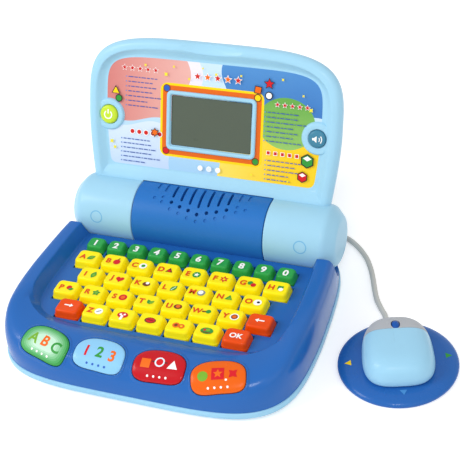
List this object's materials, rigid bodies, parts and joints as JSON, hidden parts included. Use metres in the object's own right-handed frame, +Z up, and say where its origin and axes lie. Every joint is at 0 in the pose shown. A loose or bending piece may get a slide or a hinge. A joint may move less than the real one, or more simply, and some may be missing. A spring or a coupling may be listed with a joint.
{
  "type": "toy laptop computer",
  "caption": "Child's toy laptop: rounded keyboard case, speaker barrel with hinged screen lid, spring keys, mode buttons and a corded mouse on a round base.",
  "frame": {"origin": "on the floor under the centre of the case, which stands on four round feet", "axes": "+X to the user's right along the hinge, +Y from the user to the barrel, +Z up"},
  "size_m": [0.3632, 0.2463, 0.183],
  "materials": {
    "dark_blue_plastic": "glossy",
    "light_blue_plastic": "glossy",
    "circuit_board": "satin",
    "speaker_steel": "satin",
    "screen": "satin",
    "lime_plastic": "glossy",
    "slate_plastic": "glossy",
    "mint_plastic": "glossy",
    "light_blue_button": "glossy",
    "red_plastic": "glossy",
    "orange_plastic": "glossy",
    "mouse_base_plastic": "glossy",
    "grey_plastic": "satin",
    "mouse_plastic": "glossy",
    "wheel_plastic": "glossy",
    "cord_sheath": "satin",
    "green_plastic": "glossy",
    "yellow_plastic": "glossy"
  },
  "bodies": {
    "case": {"upper_case": "dark_blue_plastic", "lower_case": "light_blue_plastic", "battery_door": "light_blue_plastic", "circuit_board": "circuit_board", "speaker": "speaker_steel", "mouse_base": "mouse_base_plastic", "mouse_cord": "cord_sheath"},
    "lid": {"lid_front": "light_blue_plastic", "lid_back": "light_blue_plastic", "display": "screen"},
    "mouse_carriage": {"mouse_carriage": "grey_plastic"},
    "mouse": {"mouse_shell": "mouse_plastic"},
    "mouse_button": {"mouse_button": "grey_plastic"},
    "mouse_wheel": {"mouse_wheel": "wheel_plastic"},
    "power_button": {"power_button": "lime_plastic"},
    "volume_button": {"volume_button": "slate_plastic"},
    "mode_button_1": {"mode_button_1": "mint_plastic"},
    "mode_button_2": {"mode_button_2": "light_blue_button"},
    "mode_button_3": {"mode_button_3": "red_plastic"},
    "mode_button_4": {"mode_button_4": "orange_plastic"},
    "key_1": {"key_1": "green_plastic"},
    "key_2": {"key_2": "green_plastic"},
    "key_3": {"key_3": "green_plastic"},
    "key_4": {"key_4": "green_plastic"},
    "key_5": {"key_5": "green_plastic"},
    "key_6": {"key_6": "green_plastic"},
    "key_7": {"key_7": "green_plastic"},
    "key_8": {"key_8": "green_plastic"},
    "key_9": {"key_9": "green_plastic"},
    "key_0": {"key_0": "green_plastic"},
    "key_a": {"key_a": "yellow_plastic"},
    "key_b": {"key_b": "yellow_plastic"},
    "key_c": {"key_c": "yellow_plastic"},
    "key_d": {"key_d": "yellow_plastic"},
    "key_e": {"key_e": "yellow_plastic"},
    "key_f": {"key_f": "yellow_plastic"},
    "key_g": {"key_g": "yellow_plastic"},
    "key_h": {"key_h": "yellow_plastic"},
    "key_i": {"key_i": "yellow_plastic"},
    "key_j": {"key_j": "yellow_plastic"},
    "key_k": {"key_k": "yellow_plastic"},
    "key_l": {"key_l": "yellow_plastic"},
    "key_m": {"key_m": "yellow_plastic"},
    "key_n": {"key_n": "yellow_plastic"},
    "key_o": {"key_o": "yellow_plastic"},
    "key_p": {"key_p": "yellow_plastic"},
    "key_r": {"key_r": "yellow_plastic"},
    "key_s": {"key_s": "yellow_plastic"},
    "key_t": {"key_t": "yellow_plastic"},
    "key_u": {"key_u": "yellow_plastic"},
    "key_w": {"key_w": "yellow_plastic"},
    "key_y": {"key_y": "yellow_plastic"},
    "key_back": {"key_back": "orange_plastic"},
    "key_repeat": {"key_repeat": "orange_plastic"},
    "key_z": {"key_z": "yellow_plastic"},
    "key_picture_1": {"key_picture_1": "yellow_plastic"},
    "key_picture_2": {"key_picture_2": "yellow_plastic"},
    "key_picture_3": {"key_picture_3": "yellow_plastic"},
    "key_picture_4": {"key_picture_4": "yellow_plastic"},
    "key_ok": {"key_ok": "orange_plastic"}
  },
  "joints": [
    {"name": "lid_hinge", "type": "hinge", "parent": "case", "child": "lid", "pos_m": [0, 0.078, 0.041], "axis": [1, 0, 0], "range_deg": [0, 106]},
    {"name": "mouse_slide_x", "type": "slide", "parent": "case", "child": "mouse_carriage", "axis": [0.9455, 0.3256, 0], "range_m": [-0.003, 0.003], "stiffness_N_per_m": 60},
    {"name": "mouse_slide_y", "type": "slide", "parent": "mouse_carriage", "child": "mouse", "axis": [-0.3256, 0.9455, 0], "range_m": [-0.003, 0.003], "stiffness_N_per_m": 60},
    {"name": "mouse_button_press", "type": "slide", "parent": "mouse", "child": "mouse_button", "axis": [0, 0, -1], "range_m": [0, 0.0008], "stiffness_N_per_m": 400, "springref_m": -0.0008},
    {"name": "mouse_wheel_spin", "type": "hinge", "parent": "mouse", "child": "mouse_wheel", "pos_m": [0.18232, 0.00645, 0.0193], "axis": [0.9455, 0.3256, 0], "continuous": true},
    {"name": "power_press", "type": "slide", "parent": "lid", "child": "power_button", "axis": [0, 0.9336, -0.3584], "range_m": [0, 0.0015], "stiffness_N_per_m": 300, "springref_m": -0.001},
    {"name": "volume_press", "type": "slide", "parent": "lid", "child": "volume_button", "axis": [0, 0.9336, -0.3584], "range_m": [0, 0.0015], "stiffness_N_per_m": 300, "springref_m": -0.001},
    {"name": "mode_1_press", "type": "slide", "parent": "case", "child": "mode_button_1", "axis": [0, 0.4695, -0.8829], "range_m": [0, 0.0018], "stiffness_N_per_m": 300, "springref_m": -0.001},
    {"name": "mode_2_press", "type": "slide", "parent": "case", "child": "mode_button_2", "axis": [0, 0.4695, -0.8829], "range_m": [0, 0.0018], "stiffness_N_per_m": 300, "springref_m": -0.001},
    {"name": "mode_3_press", "type": "slide", "parent": "case", "child": "mode_button_3", "axis": [0, 0.4695, -0.8829], "range_m": [0, 0.0018], "stiffness_N_per_m": 300, "springref_m": -0.001},
    {"name": "mode_4_press", "type": "slide", "parent": "case", "child": "mode_button_4", "axis": [0, 0.4695, -0.8829], "range_m": [0, 0.0018], "stiffness_N_per_m": 300, "springref_m": -0.001},
    {"name": "key_1_press", "type": "slide", "parent": "case", "child": "key_1", "axis": [0, 0, -1], "range_m": [0, 0.002], "stiffness_N_per_m": 300, "springref_m": -0.001},
    {"name": "key_2_press", "type": "slide", "parent": "case", "child": "key_2", "axis": [0, 0, -1], "range_m": [0, 0.002], "stiffness_N_per_m": 300, "springref_m": -0.001},
    {"name": "key_3_press", "type": "slide", "parent": "case", "child": "key_3", "axis": [0, 0, -1], "range_m": [0, 0.002], "stiffness_N_per_m": 300, "springref_m": -0.001},
    {"name": "key_4_press", "type": "slide", "parent": "case", "child": "key_4", "axis": [0, 0, -1], "range_m": [0, 0.002], "stiffness_N_per_m": 300, "springref_m": -0.001},
    {"name": "key_5_press", "type": "slide", "parent": "case", "child": "key_5", "axis": [0, 0, -1], "range_m": [0, 0.002], "stiffness_N_per_m": 300, "springref_m": -0.001},
    {"name": "key_6_press", "type": "slide", "parent": "case", "child": "key_6", "axis": [0, 0, -1], "range_m": [0, 0.002], "stiffness_N_per_m": 300, "springref_m": -0.001},
    {"name": "key_7_press", "type": "slide", "parent": "case", "child": "key_7", "axis": [0, 0, -1], "range_m": [0, 0.002], "stiffness_N_per_m": 300, "springref_m": -0.001},
    {"name": "key_8_press", "type": "slide", "parent": "case", "child": "key_8", "axis": [0, 0, -1], "range_m": [0, 0.002], "stiffness_N_per_m": 300, "springref_m": -0.001},
    {"name": "key_9_press", "type": "slide", "parent": "case", "child": "key_9", "axis": [0, 0, -1], "range_m": [0, 0.002], "stiffness_N_per_m": 300, "springref_m": -0.001},
    {"name": "key_0_press", "type": "slide", "parent": "case", "child": "key_0", "axis": [0, 0, -1], "range_m": [0, 0.002], "stiffness_N_per_m": 300, "springref_m": -0.001},
    {"name": "key_a_press", "type": "slide", "parent": "case", "child": "key_a", "axis": [0, 0, -1], "range_m": [0, 0.002], "stiffness_N_per_m": 300, "springref_m": -0.001},
    {"name": "key_b_press", "type": "slide", "parent": "case", "child": "key_b", "axis": [0, 0, -1], "range_m": [0, 0.002], "stiffness_N_per_m": 300, "springref_m": -0.001},
    {"name": "key_c_press", "type": "slide", "parent": "case", "child": "key_c", "axis": [0, 0, -1], "range_m": [0, 0.002], "stiffness_N_per_m": 300, "springref_m": -0.001},
    {"name": "key_d_press", "type": "slide", "parent": "case", "child": "key_d", "axis": [0, 0, -1], "range_m": [0, 0.002], "stiffness_N_per_m": 300, "springref_m": -0.001},
    {"name": "key_e_press", "type": "slide", "parent": "case", "child": "key_e", "axis": [0, 0, -1], "range_m": [0, 0.002], "stiffness_N_per_m": 300, "springref_m": -0.001},
    {"name": "key_f_press", "type": "slide", "parent": "case", "child": "key_f", "axis": [0, 0, -1], "range_m": [0, 0.002], "stiffness_N_per_m": 300, "springref_m": -0.001},
    {"name": "key_g_press", "type": "slide", "parent": "case", "child": "key_g", "axis": [0, 0, -1], "range_m": [0, 0.002], "stiffness_N_per_m": 300, "springref_m": -0.001},
    {"name": "key_h_press", "type": "slide", "parent": "case", "child": "key_h", "axis": [0, 0, -1], "range_m": [0, 0.002], "stiffness_N_per_m": 300, "springref_m": -0.001},
    {"name": "key_i_press", "type": "slide", "parent": "case", "child": "key_i", "axis": [0, 0, -1], "range_m": [0, 0.002], "stiffness_N_per_m": 300, "springref_m": -0.001},
    {"name": "key_j_press", "type": "slide", "parent": "case", "child": "key_j", "axis": [0, 0, -1], "range_m": [0, 0.002], "stiffness_N_per_m": 300, "springref_m": -0.001},
    {"name": "key_k_press", "type": "slide", "parent": "case", "child": "key_k", "axis": [0, 0, -1], "range_m": [0, 0.002], "stiffness_N_per_m": 300, "springref_m": -0.001},
    {"name": "key_l_press", "type": "slide", "parent": "case", "child": "key_l", "axis": [0, 0, -1], "range_m": [0, 0.002], "stiffness_N_per_m": 300, "springref_m": -0.001},
    {"name": "key_m_press", "type": "slide", "parent": "case", "child": "key_m", "axis": [0, 0, -1], "range_m": [0, 0.002], "stiffness_N_per_m": 300, "springref_m": -0.001},
    {"name": "key_n_press", "type": "slide", "parent": "case", "child": "key_n", "axis": [0, 0, -1], "range_m": [0, 0.002], "stiffness_N_per_m": 300, "springref_m": -0.001},
    {"name": "key_o_press", "type": "slide", "parent": "case", "child": "key_o", "axis": [0, 0, -1], "range_m": [0, 0.002], "stiffness_N_per_m": 300, "springref_m": -0.001},
    {"name": "key_p_press", "type": "slide", "parent": "case", "child": "key_p", "axis": [0, 0, -1], "range_m": [0, 0.002], "stiffness_N_per_m": 300, "springref_m": -0.001},
    {"name": "key_r_press", "type": "slide", "parent": "case", "child": "key_r", "axis": [0, 0, -1], "range_m": [0, 0.002], "stiffness_N_per_m": 300, "springref_m": -0.001},
    {"name": "key_s_press", "type": "slide", "parent": "case", "child": "key_s", "axis": [0, 0, -1], "range_m": [0, 0.002], "stiffness_N_per_m": 300, "springref_m": -0.001},
    {"name": "key_t_press", "type": "slide", "parent": "case", "child": "key_t", "axis": [0, 0, -1], "range_m": [0, 0.002], "stiffness_N_per_m": 300, "springref_m": -0.001},
    {"name": "key_u_press", "type": "slide", "parent": "case", "child": "key_u", "axis": [0, 0, -1], "range_m": [0, 0.002], "stiffness_N_per_m": 300, "springref_m": -0.001},
    {"name": "key_w_press", "type": "slide", "parent": "case", "child": "key_w", "axis": [0, 0, -1], "range_m": [0, 0.002], "stiffness_N_per_m": 300, "springref_m": -0.001},
    {"name": "key_y_press", "type": "slide", "parent": "case", "child": "key_y", "axis": [0, 0, -1], "range_m": [0, 0.002], "stiffness_N_per_m": 300, "springref_m": -0.001},
    {"name": "key_back_press", "type": "slide", "parent": "case", "child": "key_back", "axis": [0, 0, -1], "range_m": [0, 0.002], "stiffness_N_per_m": 300, "springref_m": -0.001},
    {"name": "key_repeat_press", "type": "slide", "parent": "case", "child": "key_repeat", "axis": [0, 0, -1], "range_m": [0, 0.002], "stiffness_N_per_m": 300, "springref_m": -0.001},
    {"name": "key_z_press", "type": "slide", "parent": "case", "child": "key_z", "axis": [0, 0, -1], "range_m": [0, 0.002], "stiffness_N_per_m": 300, "springref_m": -0.001},
    {"name": "key_picture_1_press", "type": "slide", "parent": "case", "child": "key_picture_1", "axis": [0, 0, -1], "range_m": [0, 0.002], "stiffness_N_per_m": 300, "springref_m": -0.001},
    {"name": "key_picture_2_press", "type": "slide", "parent": "case", "child": "key_picture_2", "axis": [0, 0, -1], "range_m": [0, 0.002], "stiffness_N_per_m": 300, "springref_m": -0.001},
    {"name": "key_picture_3_press", "type": "slide", "parent": "case", "child": "key_picture_3", "axis": [0, 0, -1], "range_m": [0, 0.002], "stiffness_N_per_m": 300, "springref_m": -0.001},
    {"name": "key_picture_4_press", "type": "slide", "parent": "case", "child": "key_picture_4", "axis": [0, 0, -1], "range_m": [0, 0.002], "stiffness_N_per_m": 300, "springref_m": -0.001},
    {"name": "key_ok_press", "type": "slide", "parent": "case", "child": "key_ok", "axis": [0, 0, -1], "range_m": [0, 0.002], "stiffness_N_per_m": 300, "springref_m": -0.001}
  ]
}
